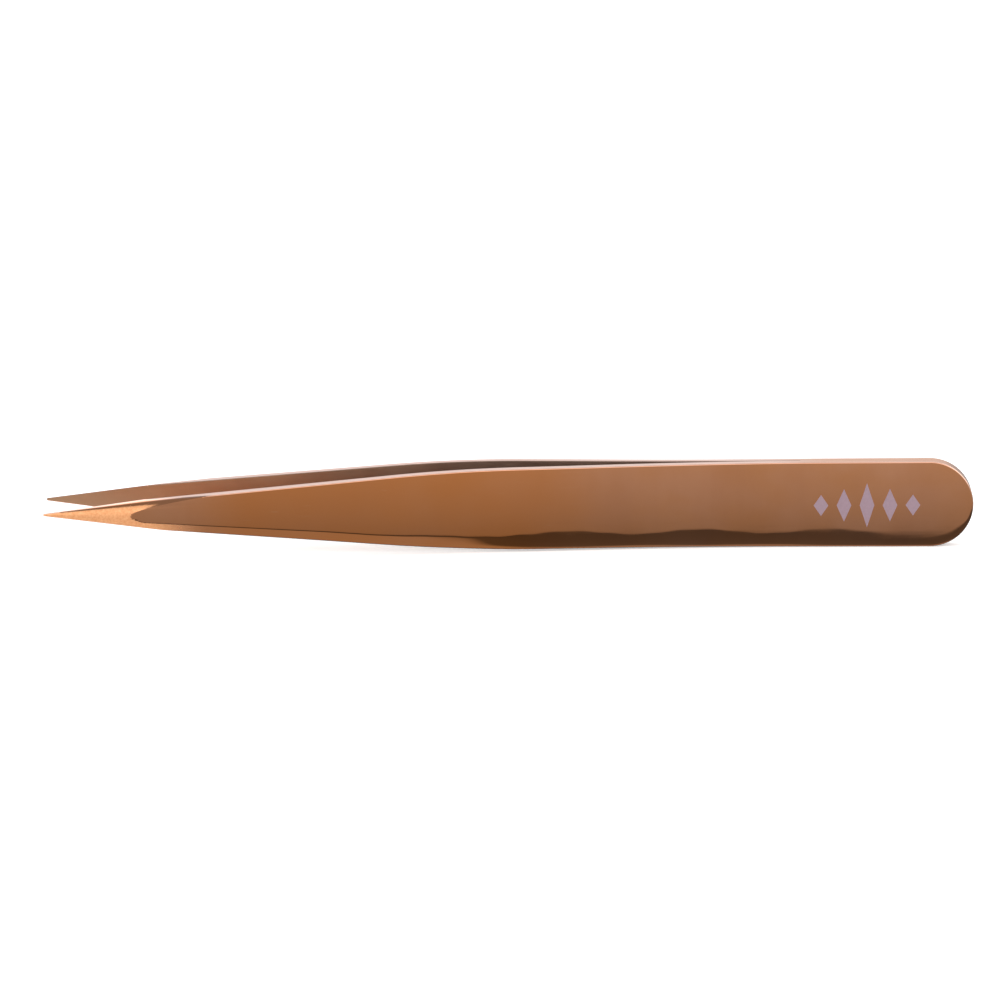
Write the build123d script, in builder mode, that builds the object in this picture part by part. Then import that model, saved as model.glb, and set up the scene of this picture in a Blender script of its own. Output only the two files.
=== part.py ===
"""Needle-pointed tweezers: two bowed spring arms welded at a round heel.

The tweezers stand on the long edges of their arms. X runs from the heel (+X) to the points (-X), Y runs
across the opening, with the front arm at -Y, and Z runs up the width of the arms. The origin is at the
bottom centre of the whole object. Lengths are in millimetres and angles in degrees.
"""

import math
import os

from build123d import *

# Overall size
length = 95.0
width = 8.9
arm_thickness = 1.3
crown_radius = 35.0

# Side profile: each arm's inner face leaves the weld along the mid-plane, bows out, then runs straight
weld_length = 17.7
bow_angle = 4.9
bow_radius = 239.0
tip_angle = 2.4
return_radius = 512.0

# Outline across the width: parallel heel, slight waist, then a long taper
waist_width = 8.5
waist_from_heel = 45.0
shoulder_radius = 170.0
taper_angle = 4.87

# Ground edges and ground point
edge_round = 0.25
bevel_angle = 32.0
bevel_width = 0.95
point_half_angle = 7.5
point_radius = 0.14

# Welds
nugget_diameter = 3.0
nugget_height = 0.9
nugget_chamfer = 0.3
nuggets_from_heel = (5.2, 12.4)
seam_depth = 0.35
seam_height = 0.5

# Printed mark: a row of lozenges
ink_thickness = 0.02
mark_from_heel = 10.9
lozenge_width = 1.5
lozenge_pitch = 2.35
lozenge_heights = (2.2, 3.4, 4.6, 3.4, 2.2)

# Flexure: a welded leaf spring turns about a point 15% of its free length beyond the weld
flexure_fraction = 0.15
tip_clearance = 0.02

# Cutting bodies reach this far past the arm
reach = 6.0
section_margin = 1.0

# A face counts as crowned, or as a side, by how squarely it faces across the opening
crown_facing = 0.9
side_facing = 0.5

# Places worked out from the sizes above
half_width = width / 2
heel_x = length / 2
tip_x = -length / 2
mid_z = half_width
heel_centre_x = heel_x - half_width
weld_x = heel_x - weld_length
flexure_x = weld_x - flexure_fraction * (length - weld_length)

bow = math.radians(bow_angle)
tip_slope = math.radians(tip_angle)
taper = math.radians(taper_angle)
bevel = math.radians(bevel_angle)

bow_end_x = weld_x - bow_radius * math.sin(bow)
bow_end_y = -bow_radius * (1 - math.cos(bow))
straight_x = bow_end_x - return_radius * (math.sin(bow) - math.sin(tip_slope))
straight_y = bow_end_y - return_radius * (math.cos(tip_slope) - math.cos(bow))
tip_y = straight_y - (straight_x - tip_x) * math.tan(tip_slope)
flexure_y = math.sqrt(bow_radius**2 - (weld_x - flexure_x) ** 2) - bow_radius

waist_x = heel_x - waist_from_heel
waist_half = waist_width / 2
taper_x = waist_x - shoulder_radius * math.sin(taper)
taper_half = waist_half - shoulder_radius * (1 - math.cos(taper))


def crown_drop(height):
    """How far the crowned outer face falls from its crest at a height from the arm's middle."""
    return crown_radius - math.sqrt(crown_radius**2 - height**2)


def outline_side(side):
    """One long side of the arm's outline, from the heel's end to beyond the point: 1 upper, -1 lower."""
    past_tip_x = tip_x - reach
    past_tip_half = taper_half - (taper_x - past_tip_x) * math.tan(taper)
    shoulder_x = waist_x - shoulder_radius * math.sin(taper / 2)
    shoulder_half = waist_half - shoulder_radius * (1 - math.cos(taper / 2))
    diagonal = half_width * math.sqrt(0.5)
    ThreePointArc(
        (heel_x, mid_z),
        (heel_centre_x + diagonal, mid_z + side * diagonal),
        (heel_centre_x, mid_z + side * half_width),
    )
    Line((heel_centre_x, mid_z + side * half_width), (weld_x, mid_z + side * half_width))
    Line((weld_x, mid_z + side * half_width), (waist_x, mid_z + side * waist_half))
    ThreePointArc(
        (waist_x, mid_z + side * waist_half),
        (shoulder_x, mid_z + side * shoulder_half),
        (taper_x, mid_z + side * taper_half),
    )
    Line((taper_x, mid_z + side * taper_half), (past_tip_x, mid_z + side * past_tip_half))
    Line((past_tip_x, mid_z + side * past_tip_half), (past_tip_x, mid_z))


def heel_profile(inset, front_x):
    """The round-ended heel, inset all round, from its end forward to front_x."""
    with Locations((heel_centre_x, mid_z)):
        Circle(half_width - inset)
    with Locations(((heel_centre_x + front_x) / 2, mid_z)):
        Rectangle(heel_centre_x - front_x, width - 2 * inset)


def crown_arc(outside=0.0, half_height=half_width):
    """Arc of the crowned outer face across the arm, in a plane across X, at a distance outside it."""
    radius = crown_radius + outside
    edge_y = crown_radius - arm_thickness - math.sqrt(radius**2 - half_height**2)
    return ThreePointArc(
        (edge_y, mid_z - half_height),
        (-arm_thickness - outside, mid_z),
        (edge_y, mid_z + half_height),
    )


def outer_rim(arm):
    """The long edges where the crowned outer face meets the outline, without the end at the point."""
    crown = arm.faces().filter_by(lambda face: face.normal_at().Y < -crown_facing)
    sides = arm.faces().filter_by(lambda face: abs(face.normal_at().Y) < side_facing)
    sides = sides.filter_by(lambda face: face.center().X > tip_x + point_radius)
    side_edges = sides.edges()
    return crown.edges().filter_by(lambda edge: any(edge.is_same(other) for other in side_edges))


# Cutting bodies for the arm: its outline, the ground point and the ground bevel on its lower edge

with BuildPart() as outline_body:
    with BuildSketch(Plane.XZ):
        with BuildLine():
            outline_side(-1)
            outline_side(1)
        make_face()
    extrude(amount=2 * reach, both=True)

point_plane = Plane(
    (tip_x, tip_y, mid_z),
    x_dir=(math.cos(tip_slope), math.sin(tip_slope), 0),
    z_dir=(0, 0, 1),
)

with BuildPart() as point_body:
    with BuildSketch(point_plane):
        with BuildLine():
            nose = JernArc((0, 0), (0, 1), point_radius, point_half_angle - 90)
            cone_length = (reach - (nose @ 1).Y) / math.tan(math.radians(point_half_angle))
            cone = Line(nose @ 1, ((nose @ 1).X + cone_length, reach))
            barrel = Line(cone @ 1, (length + reach, reach))
            back = Line(barrel @ 1, (length + reach, 0))
            Line(back @ 1, (0, 0))
        make_face()
    revolve(axis=Axis(point_plane.origin, point_plane.x_dir))

along_edge = Vector(-1, -math.tan(tip_slope), math.tan(taper)).normalized()
out_of_face = Vector(math.sin(tip_slope), -math.cos(tip_slope), 0)
down_face = out_of_face.cross(along_edge).normalized()
if down_face.Z > 0:
    down_face = -down_face
ridge_height = taper_half - bevel_width
ridge_inner_y = tip_y + (taper_x - tip_x) * math.tan(tip_slope)
ridge_y = ridge_inner_y - (arm_thickness - crown_drop(ridge_height))
bevel_plane = Plane(
    (taper_x, ridge_y, mid_z - ridge_height),
    x_dir=along_edge,
    z_dir=out_of_face * math.cos(bevel) + down_face * math.sin(bevel),
)

with BuildPart() as bevel_body:
    with BuildSketch(bevel_plane):
        Rectangle(2 * length, 2 * reach)
    extrude(amount=reach)

# Welds, which fill pockets in both arms

with BuildPart() as spot_welds:
    with BuildSketch(Plane.XZ):
        with Locations(*[(heel_x - distance, mid_z) for distance in nuggets_from_heel]):
            Circle(nugget_diameter / 2)
    extrude(amount=nugget_height / 2, both=True)
    chamfer(spot_welds.edges().filter_by(GeomType.CIRCLE).filter_by(Plane.XZ), nugget_chamfer)

with BuildPart() as heel_seam_weld:
    with BuildSketch(Plane.XZ):
        heel_profile(0, weld_x)
        with BuildSketch(mode=Mode.SUBTRACT):
            heel_profile(seam_depth, weld_x - reach)
    extrude(amount=seam_height / 2, both=True)

# The whole front arm: swept along its bow, cut to its outline, then ground

section_half = half_width + section_margin
section_plane = Plane.YZ.offset(heel_x)

with BuildPart() as whole_arm:
    with BuildLine(Plane.XY.offset(mid_z)) as inner_line:
        welded = Line((heel_x, 0), (weld_x, 0))
        outward = JernArc(welded @ 1, welded % 1, bow_radius, bow_angle)
        inward = JernArc(outward @ 1, outward % 1, return_radius, tip_angle - bow_angle)
        Line(inward @ 1, (tip_x, tip_y))
    with BuildSketch(section_plane):
        with BuildLine():
            crest = crown_arc(half_height=section_half)
            Line(crest @ 1, (0, mid_z + section_half))
            Line((0, mid_z + section_half), (0, mid_z - section_half))
            Line((0, mid_z - section_half), crest @ 0)
        make_face()
    sweep(path=inner_line.line)
    add(outline_body.part, mode=Mode.INTERSECT)
    fillet(outer_rim(whole_arm), edge_round)
    add(bevel_body.part, mode=Mode.SUBTRACT)
    add(point_body.part, mode=Mode.INTERSECT)
    add([spot_welds.part, heel_seam_weld.part], mode=Mode.SUBTRACT)

# The arm in its two rigid halves, welded and free, and the mirrored rear arm

flexure_plane = Plane.YZ.offset(flexure_x)

with BuildPart() as front_arm_heel:
    add(whole_arm.part)
    split(bisect_by=flexure_plane, keep=Keep.TOP)

with BuildPart() as front_arm_blade:
    add(whole_arm.part)
    split(bisect_by=flexure_plane, keep=Keep.BOTTOM)

with BuildPart() as rear_arm_heel:
    mirror(front_arm_heel.part, about=Plane.XZ)

with BuildPart() as rear_arm_blade:
    mirror(front_arm_blade.part, about=Plane.XZ)

# Printed mark on the front arm's outer face

mark_half_height = max(lozenge_heights) / 2
mark_run = len(lozenge_heights) * lozenge_pitch

with BuildPart() as printed_mark:
    with BuildSketch(Plane.YZ.offset(heel_x - mark_from_heel)):
        with BuildLine():
            ink_face = crown_arc(ink_thickness, mark_half_height)
            metal_face = crown_arc(0, mark_half_height)
            Line(ink_face @ 0, metal_face @ 0)
            Line(ink_face @ 1, metal_face @ 1)
        make_face()
    extrude(amount=mark_run / 2, both=True)
    with BuildSketch(Plane.XZ):
        for index, height in enumerate(lozenge_heights):
            offset_x = (index - (len(lozenge_heights) - 1) / 2) * lozenge_pitch
            with Locations((heel_x - mark_from_heel + offset_x, mid_z)):
                Polygon((-lozenge_width / 2, 0), (0, height / 2), (lozenge_width / 2, 0), (0, -height / 2))
    extrude(amount=2 * arm_thickness, mode=Mode.INTERSECT)

# Closing angle of each arm, at which its point reaches the mid-plane
lever = Vector(flexure_x - tip_x, flexure_y - tip_y, 0)
closing = math.atan2(lever.Y, lever.X) + math.asin((-flexure_y - tip_clearance) / lever.length)
print(f"flexure at x {flexure_x:.3f} y {flexure_y:.4f} mm, closes in {math.degrees(closing):.3f} degrees")
print(f"tip opening {-2 * tip_y:.2f} mm, heel rest from x {weld_x:.2f} to {heel_centre_x:.2f} mm")

pieces = {
    "front_arm_heel": front_arm_heel,
    "front_arm_blade": front_arm_blade,
    "rear_arm_heel": rear_arm_heel,
    "rear_arm_blade": rear_arm_blade,
    "spot_welds": spot_welds,
    "heel_seam_weld": heel_seam_weld,
    "printed_mark": printed_mark,
}

os.makedirs("parts", exist_ok=True)
for name, piece in pieces.items():
    piece.part.label = name
    export_step(piece.part, f"parts/{name}.step")
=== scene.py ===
"""Looks for the pointed tweezers: two bowed arms, a printed mark, plain floor and soft studio light."""

import math

import bmesh
import bpy
import numpy as np
from mathutils import Matrix, Vector


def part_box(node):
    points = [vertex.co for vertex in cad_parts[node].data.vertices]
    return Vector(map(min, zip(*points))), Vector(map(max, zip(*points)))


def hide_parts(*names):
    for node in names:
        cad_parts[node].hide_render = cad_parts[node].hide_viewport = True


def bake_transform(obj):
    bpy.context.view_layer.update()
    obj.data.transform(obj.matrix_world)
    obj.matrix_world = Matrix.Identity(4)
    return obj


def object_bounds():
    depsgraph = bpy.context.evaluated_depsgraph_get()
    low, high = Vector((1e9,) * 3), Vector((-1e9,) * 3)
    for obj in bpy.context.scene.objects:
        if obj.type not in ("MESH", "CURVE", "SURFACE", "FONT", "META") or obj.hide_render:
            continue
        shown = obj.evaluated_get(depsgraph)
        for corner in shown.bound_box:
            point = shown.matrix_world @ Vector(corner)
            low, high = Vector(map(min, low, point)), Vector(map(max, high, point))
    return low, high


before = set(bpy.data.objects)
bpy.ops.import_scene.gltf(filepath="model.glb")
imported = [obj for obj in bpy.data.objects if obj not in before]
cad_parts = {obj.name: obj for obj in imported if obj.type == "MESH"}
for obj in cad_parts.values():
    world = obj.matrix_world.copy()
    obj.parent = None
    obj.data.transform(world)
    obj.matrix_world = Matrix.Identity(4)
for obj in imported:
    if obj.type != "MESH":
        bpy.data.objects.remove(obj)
cad_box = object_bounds()

MM = 0.001

# Overall sizes, from the frame
low, high = (Vector(corner) for corner in cad_box)
heel_x = high.x / MM
tip_x = low.x / MM
width = (high.z - low.z) / MM
half_width = width / 2
mid_z = low.z / MM + half_width
weld_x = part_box("heel_seam_weld")[0][0] / MM
seam_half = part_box("heel_seam_weld")[1][1] / MM

# Arm, in millimetres: the same bow, outline and point as the frame's
arm_thickness = 1.3
crown_radius = 35.0
bow_angle = math.radians(4.9)
bow_radius = 239.0
tip_angle = math.radians(2.4)
return_radius = 512.0
waist_half = 4.25
waist_x = heel_x - 45.0
shoulder_radius = 170.0
taper_angle = math.radians(4.87)
point_angle = math.radians(7.5)
point_radius = 0.14
seam_depth = 0.35

# Rounded edges, and the height over which the face's upper side turns into its lower
upper_round = 0.10
lower_round = 0.34
bevel_round = 0.18
side_blend = 0.3 * half_width

# Soft band polished by hand along the lower edge, a little wavy
lower_band = 1.85
lower_band_swell = 0.30
lower_band_crest_x = heel_x - 27.9
lower_band_pitch = 13.6
lower_band_ripple = 0.035
ripple_pitch = 3.3
lower_band_drop = 0.19
heel_band_drop = -0.015
drop_fade_start_x = heel_x - 20.0
drop_fade_end_x = heel_x - 5.5

# Crisp bevel that the band turns into towards the tip, and the chamfer on the upper edge
bevel_slope = math.tan(math.radians(33))
bevel_start_x = heel_x - 45.0
bevel_turn_x = heel_x - 53.0
bevel_full_x = heel_x - 69.0
bevel_at_turn = 0.66
bevel_full_width = 1.08
bevel_tip_width = 0.62
chamfer_slope = math.tan(math.radians(61))
chamfer_width = 0.22
chamfer_start_x = tip_x + 17.0
chamfer_full_x = tip_x + 13.0

# Bare ground point: its soft edge, its polished top, where it ends, and the strip under it
ground_edge = (-0.004, 0.02)
polished_share = 0.27
polished_edge = (0.85, 1.1)
least_polished = 0.001
ground_end_x = tip_x + 13.4
ground_fade = 3.2
ground_end_share = 0.3
strip_edge = (-0.02, 0.06)
strip_ground_x = tip_x + 10.0
strip_coated_x = tip_x + 17.0
crease_softness = 0.008

# Inner edges: broken sharp corners, and the pocket that the weld round the heel fills
inner_break = 0.06
weld_end_step = 0.004
least_pocket = 0.01

# Pale rim painted along the edges as a highlight, which fades out where the weld starts
highlight_reach = 0.14
highlight_at_heel = 0.0
highlight_fade = 4.0
highlight_strength = 0.8

# Tints along the arm: warmest where fingers grip it; on the inner faces, painted light near the tip turns
# to painted shade towards the heel, where the gap narrows
grip_front_x = tip_x + 12.0
grip_middle_x = tip_x + 22.0
grip_back_x = tip_x + 46.0
grip_gone_x = tip_x + 60.0
inside_shade_start_x = tip_x + 6.0
inside_shade_full_x = tip_x + 50.0

# Worked-out places
bow_end_x = weld_x - bow_radius * math.sin(bow_angle)
bow_end_h = bow_radius * (1 - math.cos(bow_angle))
return_centre_x = bow_end_x - return_radius * math.sin(bow_angle)
return_centre_h = bow_end_h - return_radius * math.cos(bow_angle)
straight_x = return_centre_x + return_radius * math.sin(tip_angle)
straight_h = return_centre_h + return_radius * math.cos(tip_angle)
tip_h = straight_h + (straight_x - tip_x) * math.tan(tip_angle)
heel_centre_x = heel_x - half_width
taper_x = waist_x - shoulder_radius * math.sin(taper_angle)
taper_half = waist_half - shoulder_radius * (1 - math.cos(taper_angle))


def smoothstep(value, start, end):
    """Rises smoothly from 0 at start to 1 at end."""
    t = np.clip((value - start) / (end - start), 0, 1)
    return t * t * (3 - 2 * t)


def smooth_min(a, b, softness):
    """The lower of two heights, with the crease between them rounded over softness."""
    h = np.clip(0.5 + 0.5 * (b - a) / softness, 0, 1)
    return b * (1 - h) + a * h - softness * h * (1 - h)


def inner_line(x):
    """Half the gap between the arms, and the inner face's angle to the mid-plane, at x."""
    if x >= weld_x:
        return 0.0, 0.0
    if x >= bow_end_x:
        run = weld_x - x
        return bow_radius - math.sqrt(bow_radius**2 - run**2), math.asin(run / bow_radius)
    if x >= straight_x:
        run = x - return_centre_x
        h = return_centre_h + math.sqrt(return_radius**2 - run**2)
        return h, math.asin(run / return_radius)
    return tip_h - (x - tip_x) * math.tan(tip_angle), tip_angle


def cone_radius(x):
    """Radius of the ground point about the arm's inner face."""
    along = (x - tip_x) / math.cos(tip_angle)
    cap = point_radius * (1 - math.sin(point_angle))
    if along < cap:
        return math.sqrt(max(point_radius**2 - (point_radius - along) ** 2, 0))
    return point_radius * math.cos(point_angle) + (along - cap) * math.tan(point_angle)


def outline_half(x):
    """Half the arm's width at x, before the point is ground."""
    if x > heel_centre_x:
        return math.sqrt(max(half_width**2 - (x - heel_centre_x) ** 2, 0))
    if x > weld_x:
        return half_width
    if x > waist_x:
        return waist_half + (half_width - waist_half) * (x - waist_x) / (weld_x - waist_x)
    if x > taper_x:
        return waist_half - shoulder_radius + math.sqrt(shoulder_radius**2 - (waist_x - x) ** 2)
    return taper_half - (taper_x - x) * math.tan(taper_angle)


def edge_distance(x, height):
    """Distance from the outline, for heights measured from the arm's middle."""
    if x > heel_centre_x:
        return half_width - np.hypot(x - heel_centre_x, height)
    return outline_half(x) - np.abs(height)


def bevel_share(x):
    """How far the soft band on the lower edge has turned into a crisp bevel at x, from 0 to 1."""
    early = float(smoothstep(-x, -bevel_start_x, -bevel_turn_x))
    late = float(np.clip((bevel_turn_x - x) / (bevel_turn_x - bevel_full_x), 0, 1))
    return bevel_at_turn * early + (1 - bevel_at_turn) * late


def band_width(x):
    """Width of the soft band along the lower edge, which hand polishing has left a little wavy."""
    swell = math.cos(2 * math.pi * (x - lower_band_crest_x) / lower_band_pitch)
    ripple = math.sin(2 * math.pi * x / ripple_pitch)
    return lower_band + lower_band_swell * swell + lower_band_ripple * ripple


def crease_place(x):
    """Distance from the lower edge to where the band or the bevel starts at x."""
    towards_tip = max(bevel_full_x - x, 0) / (bevel_full_x - tip_x)
    bevel = bevel_full_width + (bevel_tip_width - bevel_full_width) * towards_tip
    return band_width(x) + (bevel - band_width(x)) * bevel_share(x)


def strip_depth(distance, width):
    """How far inside a ground strip of this width each distance lies, with a slightly soft crease."""
    depth = width - distance
    return 0.5 * (depth + np.sqrt(depth**2 + crease_softness**2))


def face_height(x, height):
    """The outer face above the inner face: crown, ground strips and rounded edges, without the point."""
    distance = np.maximum(edge_distance(x, height), 0)
    crown = arm_thickness - crown_radius + np.sqrt(crown_radius**2 - height**2)
    upper_side = smoothstep(height, -side_blend, side_blend)
    share = bevel_share(x)
    place = crease_place(x)
    heel_fade = float(smoothstep(x, drop_fade_start_x, drop_fade_end_x))
    band_drop = lower_band_drop + (heel_band_drop - lower_band_drop) * heel_fade
    band = band_drop * np.clip(1 - distance / place, 0, 1) ** 2
    bevel = bevel_slope * strip_depth(distance, place)
    chamfered = float(smoothstep(-x, -chamfer_start_x, -chamfer_full_x))
    chamfer = chamfer_slope * np.maximum(chamfer_width * chamfered - distance, 0)
    drop = (band * (1 - share) + bevel * share) * (1 - upper_side) + chamfer * upper_side
    lower = lower_round + (bevel_round - lower_round) * share
    radius = lower + (upper_round - lower) * upper_side
    inside = np.clip(radius - distance, 0, radius)
    return crown - drop - (radius - np.sqrt(radius**2 - inside**2))


# How the mesh is divided, along the arm and across it
turn_stations = 45
weld_spacing = 0.5
arm_spacing = 0.4
fine_x = tip_x + 42
fine_spacing = 0.25
finest_x = tip_x + 17
point_stations = 190
cap_length = 0.5
cap_stations = 16
upper_fine = [0, 0.003, 0.012, 0.03, 0.055, 0.085, 0.12, 0.15, 0.18]
upper_coarse = [0.205, 0.22, 0.235, 0.26, 0.29, 0.32, 0.36, 0.42, 0.5, 0.62, 0.8, 1.1]
upper_steps = np.array(upper_fine + upper_coarse)
lower_steps = np.array([0, 0.004, 0.018, 0.045, 0.08, 0.12, 0.17, 0.22])
crease_steps = np.array([0.4, 0.6, 0.8, 0.93, 1.0, 1.07, 1.2, 1.4])
middle_rows = 24
edge_rows_full = 0.7
crease_limit = 0.62
narrow_below = 2.4
least_block = 0.12
rows_spread_x = tip_x + 16.5
crease_rounds = 12
wall_steps = (0.06, 0.2, 0.4, 0.6, 0.8, 0.94)
inner_steps = 12

# Zone of the ground point, where the rows follow its crease and the crease stays sharp
point_zone_x = tip_x + 20.0
sharp_angle = math.radians(38)
point_sharp_angle = math.radians(24)

# Cleaning, in metres
joining_distance = 2e-7
degenerate_length = 1e-8


def stations():
    """Places along X where the arm's sections stand, from the heel's end to the point."""
    turn_angles = np.linspace(0, math.pi / 2, turn_stations)
    turn = [heel_centre_x + half_width * math.cos(a) for a in turn_angles]
    weld_front_x = weld_x - weld_end_step
    xs = sorted([*turn, heel_x - seam_depth, heel_x - seam_depth - weld_end_step], reverse=True)
    spans = (
        (heel_centre_x, weld_x, weld_spacing),
        (weld_x, weld_front_x, weld_end_step),
        (weld_front_x, fine_x, arm_spacing),
        (fine_x, finest_x, fine_spacing),
    )
    for start, end, step in spans:
        xs += list(np.linspace(start, end, math.ceil((start - end) / step) + 1)[1:])
    xs += list(np.linspace(finest_x, tip_x + cap_length, point_stations)[1:])
    cap_angles = np.linspace(0, math.pi / 2, cap_stations)[1:]
    return xs + [tip_x + cap_length * (1 - math.sin(a)) for a in cap_angles]


def crease_height(x):
    """Height on the upper side at which the point's cone meets the outer face, or 0 nearer the tip."""
    cone = cone_radius(x)
    height = 0.0
    for _ in range(crease_rounds):
        face = float(face_height(x, np.array([height]))[0])
        height = math.sqrt(max(cone**2 - face**2, 0))
    return height


def top_block(x, half):
    """Depth below the upper edge of the closely spaced rows: down to the crease, where there is one."""
    full = upper_steps[-1] * min(1, half / narrow_below)
    if x > point_zone_x:
        return full
    crease = crease_height(x)
    if crease <= 0:
        return full
    block = min(max(half - crease, least_block), half)
    return block + (full - block) * float(smoothstep(x, rows_spread_x, point_zone_x))


def across(x, half):
    """Heights of the outer face's points, from the upper edge to the lower."""
    narrow = min(1, half / narrow_below)
    upper = half - upper_steps / upper_steps[-1] * top_block(x, half)
    place = min(crease_place(x), half * crease_limit)
    edge_rows = lower_steps * narrow * min(1, place / edge_rows_full)
    lower = np.concatenate([edge_rows, place * crease_steps]) - half
    middle = np.linspace(upper[-1], lower[-1], middle_rows + 2)[1:-1]
    return np.concatenate([upper, middle, lower[::-1]])


def ground_mask(x, height, half, cone, point, face):
    """Where the point is ground bare: the cone below its polished top edge, and the strip under it."""
    ground = smoothstep(face - point, *ground_edge)
    polished = max(polished_share * min(cone, half), least_polished)
    ground *= smoothstep(half - height, polished * polished_edge[0], polished * polished_edge[1])
    ending = float(smoothstep(x, ground_end_x - ground_fade, ground_end_x))
    ground *= 1 - ending * smoothstep(height, 0, max(ground_end_share * half, least_polished))
    strip = smoothstep(crease_place(x) - (height + half), *strip_edge)
    strip *= 1 - float(smoothstep(x, strip_ground_x, strip_coated_x))
    return np.maximum(ground, strip)


def inner_half(x, half):
    """Half the height of the inner face at x, inside the broken edge or inside the weld round the heel."""
    if x < weld_x:
        return max(half - inner_break, 0)
    if x < heel_centre_x:
        return half_width - seam_depth
    squared = (half_width - seam_depth) ** 2 - (x - heel_centre_x) ** 2
    return math.sqrt(squared) if squared > least_pocket**2 else 0.0


mask_names = ("ground", "painted_highlight", "inside", "grip", "painted_gap_shade")


def section(x):
    """Closed loop of one section: heights, distances out of the inner face, and the masks."""
    cone = cone_radius(x)
    half = min(outline_half(x), cone)
    height = across(x, half)
    face = face_height(x, height)
    point = np.sqrt(np.maximum(cone**2 - height**2, 0))
    outer = np.maximum(smooth_min(face, point, crease_softness), 0) if x < point_zone_x else face
    ground = ground_mask(x, height, half, cone, point, face)
    # Painted highlight: a pale rim along the edges of the outline
    painted_highlight = 1 - smoothstep(half - np.abs(height), 0.0, highlight_reach)
    if x > heel_centre_x:
        painted_highlight = 1 - smoothstep(edge_distance(x, height), 0.0, highlight_reach)
    welded = x >= weld_x
    bottom = seam_half if welded else 0.0
    face_half = inner_half(x, half)
    top_edge, low_edge = max(outer[0], bottom), max(outer[-1], bottom)
    wall_low = bottom if welded else min(inner_break, 0.5 * top_edge, 0.5 * low_edge)
    wall = np.concatenate([[0], wall_steps])
    upper_wall = wall_low + (top_edge - wall_low) * wall
    lower_wall = wall_low + (low_edge - wall_low) * wall[::-1]
    inner = np.concatenate([[-face_half], np.linspace(-face_half, face_half, inner_steps), [face_half]])
    inner_out = np.zeros(inner_steps + 2)
    inner_out[[0, -1]] = bottom
    if face_half == 0:
        inner_out[:] = bottom
    side = np.full(len(wall), half)
    heights = np.concatenate([side, height, -side, inner])
    outs = np.concatenate([upper_wall, outer, lower_wall, inner_out])
    blank = np.zeros(len(inner))
    # Painted highlight on the side walls, fading out over the weld
    wall_highlight = 1 - (1 - highlight_at_heel) * float(smoothstep(x, weld_x - highlight_fade, weld_x + highlight_fade))
    gripped = smoothstep(x, grip_front_x, grip_middle_x) * (1 - smoothstep(x, grip_back_x, grip_gone_x))
    masks = {
        "ground": np.concatenate([0 * side, ground, np.full(len(wall), ground[-1]), blank]),
        "painted_highlight": np.concatenate([np.full(len(wall), wall_highlight), painted_highlight, np.full(len(wall), wall_highlight), blank]),
        "inside": np.concatenate([0 * side, 0 * height, 0 * side, np.ones(len(inner))]),
        "grip": np.full(len(heights), float(gripped)),
        # Share of painted shade between the arms, growing towards the heel
        "painted_gap_shade": np.full(len(heights), float(smoothstep(x, inside_shade_start_x, inside_shade_full_x))),
    }
    return heights, outs, masks


def make_arm(name, side):
    """One arm as a closed mesh, on the side of the mid-plane that side says: -1 front, 1 rear."""
    points = []
    layers = {label: [] for label in mask_names}
    xs = stations()
    for x in xs:
        h, angle = inner_line(x)
        heights, outs, masks = section(x)
        for height, out in zip(heights, outs):
            px = x + out * math.sin(angle)
            py = side * (h + out * math.cos(angle))
            points.append((px * MM, py * MM, (mid_z + height) * MM))
        for label, values in masks.items():
            layers[label] += list(values)
    count = len(points) // len(xs)
    faces = []
    for i in range(len(xs) - 1):
        for j in range(count):
            a, b = i * count + j, i * count + (j + 1) % count
            quad = (a, b, b + count, a + count)
            faces.append(quad if side < 0 else quad[::-1])
    mesh = bpy.data.meshes.new(name)
    mesh.from_pydata(points, [], faces)
    for label, values in layers.items():
        attribute = mesh.attributes.new(label, "FLOAT", "POINT")
        attribute.data.foreach_set("value", np.array(values, dtype=np.float32))
    arm = bpy.data.objects.new(name, mesh)
    bpy.context.scene.collection.objects.link(arm)
    clean(mesh)
    return arm


def clean(mesh):
    """Joins the points that meet at the heel's end and at the tip, and marks the sharp edges."""
    bm = bmesh.new()
    bm.from_mesh(mesh)
    bmesh.ops.remove_doubles(bm, verts=bm.verts, dist=joining_distance)
    bmesh.ops.dissolve_degenerate(bm, edges=bm.edges, dist=degenerate_length)
    bmesh.ops.holes_fill(bm, edges=[edge for edge in bm.edges if edge.is_boundary], sides=0)
    bmesh.ops.recalc_face_normals(bm, faces=bm.faces)
    for face in bm.faces:
        face.smooth = True
    for edge in bm.edges:
        middle = (edge.verts[0].co + edge.verts[1].co) / 2
        on_point = middle.x < point_zone_x * MM and middle.z > mid_z * MM
        edge.smooth = edge.calc_face_angle(0) < (point_sharp_angle if on_point else sharp_angle)
    bm.to_mesh(mesh)
    bm.free()


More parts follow.
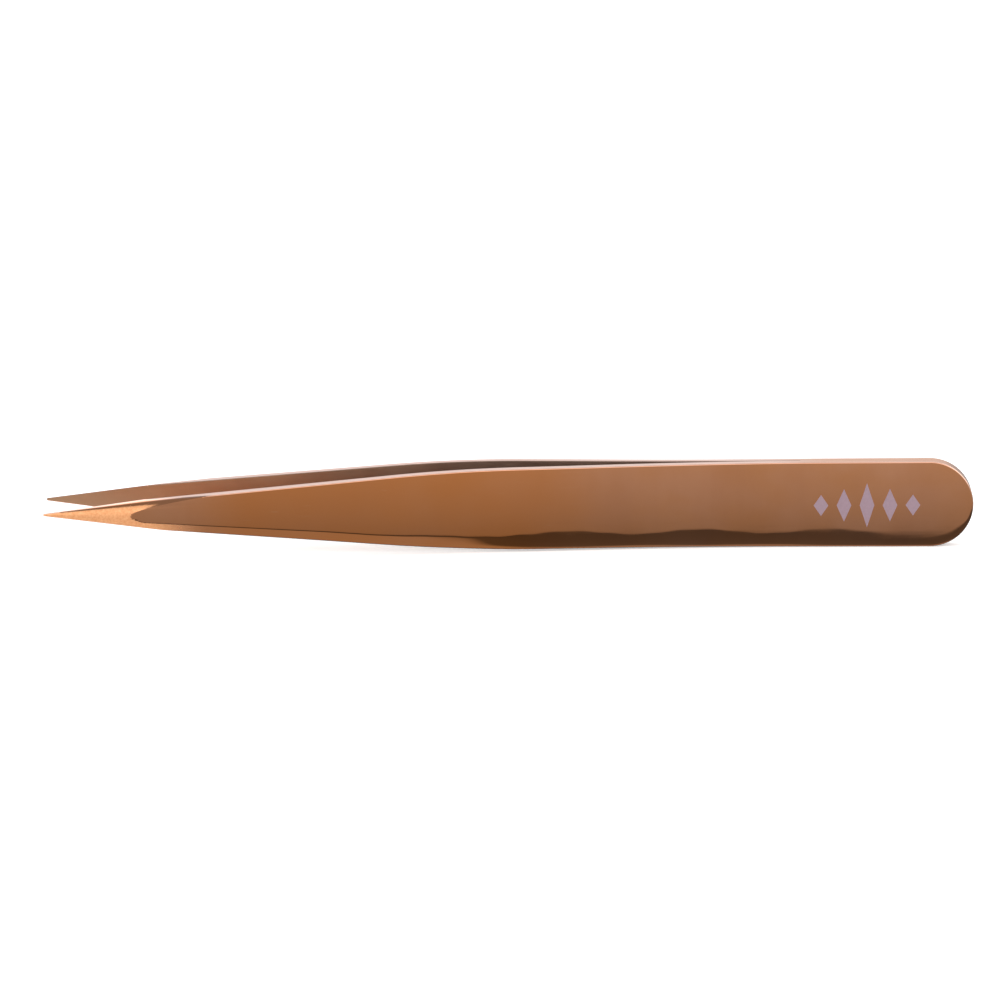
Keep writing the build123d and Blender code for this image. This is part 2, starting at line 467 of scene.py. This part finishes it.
class Nodes:
    """Short helper for building a material's nodes."""

    def __init__(self, name):
        self.material = bpy.data.materials.new(name)
        self.material.use_nodes = True
        self.tree = self.material.node_tree
        self.shader = self.tree.nodes["Principled BSDF"]

    def add(self, kind, **values):
        node = self.tree.nodes.new(kind)
        for key, value in values.items():
            if key in node.bl_rna.properties:
                setattr(node, key, value)
            else:
                node.inputs[key.replace("_", " ")].default_value = value
        return node

    def link(self, source, target):
        self.tree.links.new(source, target)

    def position(self, scale, turn=0.0):
        coordinates = self.add("ShaderNodeTexCoord")
        mapping = self.add("ShaderNodeMapping", Scale=scale, Rotation=(0, math.radians(turn), 0))
        self.link(coordinates.outputs["Object"], mapping.inputs["Vector"])
        return mapping.outputs["Vector"]

    def noise(self, scale, size, detail=2.0, roughness=0.5, turn=0.0):
        node = self.add("ShaderNodeTexNoise", Scale=size, Detail=detail, Roughness=roughness)
        self.link(self.position(scale, turn), node.inputs["Vector"])
        return node.outputs["Fac"]

    def remap(self, value, from_low, from_high, to_low, to_high, shape="LINEAR"):
        node = self.add("ShaderNodeMapRange", clamp=True, interpolation_type=shape)
        node.inputs["From Min"].default_value = from_low
        node.inputs["From Max"].default_value = from_high
        node.inputs["To Min"].default_value = to_low
        node.inputs["To Max"].default_value = to_high
        self.link(value, node.inputs["Value"])
        return node.outputs["Result"]

    def attribute(self, name):
        return self.add("ShaderNodeAttribute", attribute_name=name).outputs["Fac"]

    def mix(self, factor, a, b):
        node = self.add("ShaderNodeMix", data_type="RGBA")
        self.link(factor, node.inputs["Factor"])
        for value, socket in ((a, node.inputs[6]), (b, node.inputs[7])):
            if isinstance(value, tuple):
                socket.default_value = (*value, 1)
            else:
                self.link(value, socket)
        return node.outputs[2]

    def math(self, operation, a, b):
        node = self.add("ShaderNodeMath", operation=operation)
        for value, socket in ((a, node.inputs[0]), (b, node.inputs[1])):
            if isinstance(value, (int, float)):
                socket.default_value = value
            else:
                self.link(value, socket)
        return node.outputs[0]

    def bump(self, height, strength, distance, normal=None):
        node = self.add("ShaderNodeBump", Strength=strength, Distance=distance)
        self.link(height, node.inputs["Height"])
        if normal:
            self.link(normal, node.inputs["Normal"])
        return node.outputs["Normal"]


# Colours
coat_warm = (0.79, 0.365, 0.195)
coat_deep = (0.77, 0.33, 0.145)
coat_shaded = (0.68, 0.285, 0.135)
coat_gripped = (0.76, 0.275, 0.085)
# Pale pink of the painted highlight along the edges
painted_highlight_tint = (0.90, 0.62, 0.54)
scratch_tint = (0.90, 0.55, 0.36)
# Inner faces: painted light near the tip, painted shade towards the heel
inside_painted_light = (0.88, 0.51, 0.31)
inside_painted_shade = (0.42, 0.29, 0.225)
ground_dark = (0.76, 0.31, 0.12)
ground_light = (0.93, 0.48, 0.225)
steel_dark = (0.42, 0.40, 0.38)
steel_light = (0.62, 0.58, 0.53)
ink_dark = (0.25, 0.165, 0.20)
ink_light = (0.34, 0.235, 0.28)

# Finish of the arms
ground_metallic = 0.35
ground_roughness = 0.45
inside_roughness = 0.3
scratch_roughness = 0.15
scratch_strength = 0.3


def coating(n):
    """Colour of the rose-gold coating, which is the same on the arms and on the weld between them."""
    cloud = n.noise((1, 1, 1.6), 130, 3)
    colour = n.mix(n.remap(cloud, 0.35, 0.68, 0, 1), coat_warm, coat_deep)
    shade = n.noise((1.4, 1, 0.5), 100, 4, 0.6)
    return n.mix(n.remap(shade, 0.4, 0.7, 0, 0.5), colour, coat_shaded)


def brushed_lines(n):
    """Fine brushing along the object."""
    return n.noise((60, 1500, 9000), 1, 3, 0.6)


def coated_roughness(n, brushing):
    """Roughness of the polished coating, with smudges and fine brushing."""
    smudge = n.noise((1, 1, 2.2), 260, 4, 0.6)
    rough = n.remap(smudge, 0.35, 0.75, 0.06, 0.13)
    return n.math("ADD", rough, n.remap(brushing, 0.3, 0.7, -0.02, 0.03))


def polished_surface(n, brushing):
    """Slight waves left by polishing, and fine brushing along the object."""
    wave = n.noise((1, 1, 0.4), 95, 1)
    normal = n.bump(wave, 1.0, 0.00016)
    return n.bump(brushing, 0.35, 0.0000016, normal)


def rose_gold():
    """Polished rose-gold coating, with satin inner faces under painted light and shade, a ground point and
    a pale painted highlight along the edges.
    """
    n = Nodes("rose_gold")
    ground, painted_highlight, inside, grip, painted_gap_shade = (n.attribute(label) for label in mask_names)
    colour = coating(n)
    patch = n.math("MULTIPLY", grip, n.remap(n.noise((1, 1, 1.3), 70, 2), 0.25, 0.6, 0.55, 1))
    colour = n.mix(patch, colour, coat_gripped)
    # Inner faces: painted light near the tip, darkened by painted shade towards the heel where the gap
    # narrows
    colour = n.mix(inside, colour, n.mix(painted_gap_shade, inside_painted_light, inside_painted_shade))
    grit = n.noise((1, 1, 1), 4200, 3, 0.65)
    bare = n.mix(n.remap(grit, 0.3, 0.7, 0, 1), ground_dark, ground_light)
    colour = n.mix(ground, colour, bare)
    scratch = n.noise((300, 300, 9000), 1, 2, 0.5, turn=38)
    scratch = n.remap(scratch, 0.70, 0.76, 0, 1)
    scratch = n.math("MULTIPLY", scratch, grip)
    colour = n.mix(n.math("MULTIPLY", scratch, scratch_strength), colour, scratch_tint)
    # Pale painted highlight along the edges
    colour = n.mix(n.math("MULTIPLY", painted_highlight, highlight_strength), colour, painted_highlight_tint)
    n.link(colour, n.shader.inputs["Base Color"])
    n.link(n.remap(ground, 0, 1, 1, ground_metallic), n.shader.inputs["Metallic"])
    brushing = brushed_lines(n)
    rough = n.math("ADD", coated_roughness(n, brushing), n.math("MULTIPLY", scratch, scratch_roughness))
    rough = n.math("ADD", rough, n.math("MULTIPLY", inside, inside_roughness))
    rough = n.math("ADD", rough, n.math("MULTIPLY", ground, ground_roughness))
    n.link(rough, n.shader.inputs["Roughness"])
    normal = polished_surface(n, brushing)
    normal = n.bump(n.math("MULTIPLY", grit, ground), 0.6, 0.000012, normal)
    n.link(normal, n.shader.inputs["Normal"])
    return n.material


def bare_weld():
    """Fused steel of the hidden spot welds."""
    n = Nodes("bare_weld")
    n.shader.inputs["Metallic"].default_value = 1
    spots = n.noise((1, 1, 1), 900, 4)
    n.link(n.mix(spots, steel_dark, steel_light), n.shader.inputs["Base Color"])
    n.link(n.remap(spots, 0.3, 0.7, 0.35, 0.55), n.shader.inputs["Roughness"])
    n.link(n.bump(spots, 0.5, 0.00004), n.shader.inputs["Normal"])
    return n.material


def ground_weld():
    """Weld round the heel, ground flush, polished and coated with the arms."""
    n = Nodes("ground_weld")
    n.shader.inputs["Metallic"].default_value = 1
    brushing = brushed_lines(n)
    along = n.add("ShaderNodeSeparateXYZ")
    n.link(n.position((1, 1, 1)), along.inputs[0])
    # Painted highlight: the arms' pale edge rim, fading out over the front of the weld
    fade = (weld_x - highlight_fade) * MM, (weld_x + highlight_fade) * MM
    painted_highlight = n.remap(along.outputs["X"], *fade, 1, highlight_at_heel, "SMOOTHSTEP")
    colour = n.mix(n.math("MULTIPLY", painted_highlight, highlight_strength), coating(n), painted_highlight_tint)
    n.link(colour, n.shader.inputs["Base Color"])
    n.link(coated_roughness(n, brushing), n.shader.inputs["Roughness"])
    n.link(polished_surface(n, brushing), n.shader.inputs["Normal"])
    return n.material


def ink():
    """Matt printed ink, a little uneven."""
    n = Nodes("ink")
    speckle = n.noise((1, 1, 1), 5200, 3)
    n.link(n.mix(speckle, ink_dark, ink_light), n.shader.inputs["Base Color"])
    n.link(n.remap(speckle, 0.3, 0.7, 0.45, 0.6), n.shader.inputs["Roughness"])
    n.link(n.bump(speckle, 0.3, 0.000004), n.shader.inputs["Normal"])
    return n.material


def floor_finish():
    """Plain white floor."""
    n = Nodes("floor")
    n.shader.inputs["Roughness"].default_value = 0.9
    n.shader.inputs["Specular IOR Level"].default_value = 0.1
    paper = n.noise((1, 1, 1), 3, 2)
    n.link(n.mix(paper, (0.93, 0.93, 0.93), (0.95, 0.95, 0.95)), n.shader.inputs["Base Color"])
    n.shader.inputs["Emission Color"].default_value = (1, 1, 1, 1)
    n.shader.inputs["Emission Strength"].default_value = 0.42
    return n.material


# Environment seen in reflections, by the sine of its elevation: table, dark gap, wall, softbox, ceiling
sky = (
    (-1.00, 0.42),
    (-0.95, 0.40),
    (-0.87, 0.11),
    (-0.39, 0.085),
    (-0.37, 0.31),
    (-0.20, 0.41),
    (0.05, 0.53),
    (0.12, 0.78),
    (0.26, 0.92),
    (0.36, 1.75),
    (0.78, 1.75),
    (0.90, 0.30),
    (1.00, 0.28),
)
sky_peak = max(brightness for _, brightness in sky)
fill_strength = 1.08


def make_world():
    """White fill for the scene, and a designed surround for what the metal mirrors."""
    world = bpy.data.worlds.new("studio")
    bpy.context.scene.world = world
    world.use_nodes = True
    tree = world.node_tree
    background = tree.nodes["Background"]
    background.inputs["Color"].default_value = (1, 1, 1, 1)
    coordinates = tree.nodes.new("ShaderNodeTexCoord")
    split = tree.nodes.new("ShaderNodeSeparateXYZ")
    place = tree.nodes.new("ShaderNodeMapRange")
    place.inputs["From Min"].default_value = -1
    ramp = tree.nodes.new("ShaderNodeValToRGB")
    elements = ramp.color_ramp.elements
    while len(elements) < len(sky):
        elements.new(0.5)
    for element, (sine, brightness) in zip(elements, sky):
        element.position = (sine + 1) / 2
        element.color = (*[brightness / sky_peak] * 3, 1)
    boost = tree.nodes.new("ShaderNodeMix")
    boost.data_type = "FLOAT"
    strength = tree.nodes.new("ShaderNodeMath")
    strength.operation = "MULTIPLY"
    strength.inputs[1].default_value = sky_peak
    path = tree.nodes.new("ShaderNodeLightPath")
    tree.links.new(coordinates.outputs["Generated"], split.inputs[0])
    tree.links.new(split.outputs["Z"], place.inputs["Value"])
    tree.links.new(place.outputs["Result"], ramp.inputs["Fac"])
    tree.links.new(ramp.outputs["Color"], strength.inputs[0])
    tree.links.new(path.outputs["Is Glossy Ray"], boost.inputs["Factor"])
    boost.inputs[2].default_value = fill_strength
    tree.links.new(strength.outputs[0], boost.inputs[3])
    tree.links.new(boost.outputs[0], background.inputs["Strength"])


def make_floor():
    """White floor that the tweezers rest on, which the metal doesn't mirror."""
    reach = 12.0
    mesh = bpy.data.meshes.new("floor")
    corners = [(x * reach, y * reach, low.z) for x, y in ((-1, -1), (1, -1), (1, 1), (-1, 1))]
    mesh.from_pydata(corners, [], [(0, 1, 2, 3)])
    floor = bpy.data.objects.new("floor", mesh)
    bpy.context.scene.collection.objects.link(floor)
    mesh.materials.append(floor_finish())
    floor.visible_glossy = False


def make_key_light():
    """Large soft light above and in front."""
    data = bpy.data.lights.new("softbox", "AREA")
    data.shape = "RECTANGLE"
    data.size = 1.2
    data.size_y = 0.8
    data.energy = 2.0
    light = bpy.data.objects.new("softbox", data)
    light.location = (-0.3, -0.7, 1.1)
    light.rotation_euler = (-light.location).to_track_quat("-Z", "Y").to_euler()
    light.visible_glossy = False
    bpy.context.scene.collection.objects.link(light)


def make_camera():
    """Camera in front of the front arm, a little above it, with a long lens."""
    elevation = math.radians(12.4)
    distance = 0.9
    field = 0.10235
    roll = math.radians(-0.317)
    target = Vector((-0.00091, 0, mid_z * MM + 0.00048))
    data = bpy.data.cameras.new("camera")
    data.sensor_width = 36
    data.lens = data.sensor_width * distance / field
    data.clip_start = 0.01
    data.clip_end = 100
    camera = bpy.data.objects.new("camera", data)
    away = Vector((0, -math.cos(elevation), math.sin(elevation)))
    turn = away.to_track_quat("Z", "Y").to_matrix().to_4x4() @ Matrix.Rotation(roll, 4, "Z")
    camera.matrix_world = Matrix.Translation(target + away * distance) @ turn
    bpy.context.scene.collection.objects.link(camera)
    bpy.context.scene.camera = camera


metal = rose_gold()

for body, side in (("front_arm", -1), ("rear_arm", 1)):
    arm = make_arm(f"{body}_bent", side)
    arm.data.materials.append(metal)
    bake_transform(arm)
    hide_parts(f"{body}_heel", f"{body}_blade")

finishes = {"spot_welds": bare_weld(), "heel_seam_weld": ground_weld(), "printed_mark": ink()}
for node, material in finishes.items():
    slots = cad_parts[node].data.materials
    slots.clear()
    slots.append(material)

make_world()
make_floor()
make_key_light()
make_camera()
bpy.context.scene.view_settings.view_transform = "Standard"
